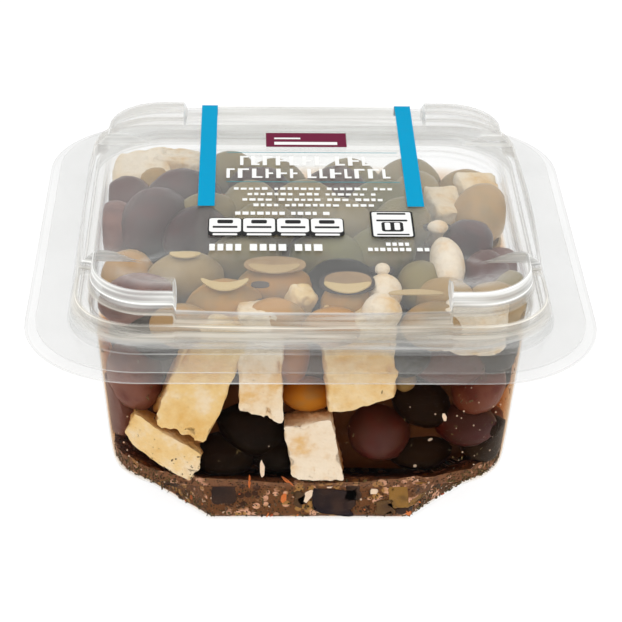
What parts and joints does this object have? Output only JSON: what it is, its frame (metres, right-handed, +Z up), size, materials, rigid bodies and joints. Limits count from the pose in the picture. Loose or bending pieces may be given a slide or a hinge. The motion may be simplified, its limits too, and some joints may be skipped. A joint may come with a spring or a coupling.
{
  "type": "greek salad in a lidded tub",
  "caption": "Greek feta and olive salad in marinade, in a square clear plastic tub with a press-on stacking lid and a clear top label.",
  "frame": {"origin": "centre of the tub's underside, on the surface that the pack stands on", "axes": "+Z up, -Y towards the front edge of the label, X from side to side"},
  "size_m": [0.138, 0.138, 0.069],
  "materials": {
    "clear_plastic": "clear, glossy",
    "label_film": "clear printed film, satin",
    "olives_and_feta": "moist, soft gloss",
    "marinade_oil": "clear oil, glossy",
    "herbs_and_spice": "wet, coarse"
  },
  "bodies": {
    "root": {"tub": "clear_plastic", "lid": "clear_plastic", "label": "label_film", "salad_heap": "olives_and_feta", "marinade": "marinade_oil", "herb_layer": "herbs_and_spice"}
  },
  "joints": []
}
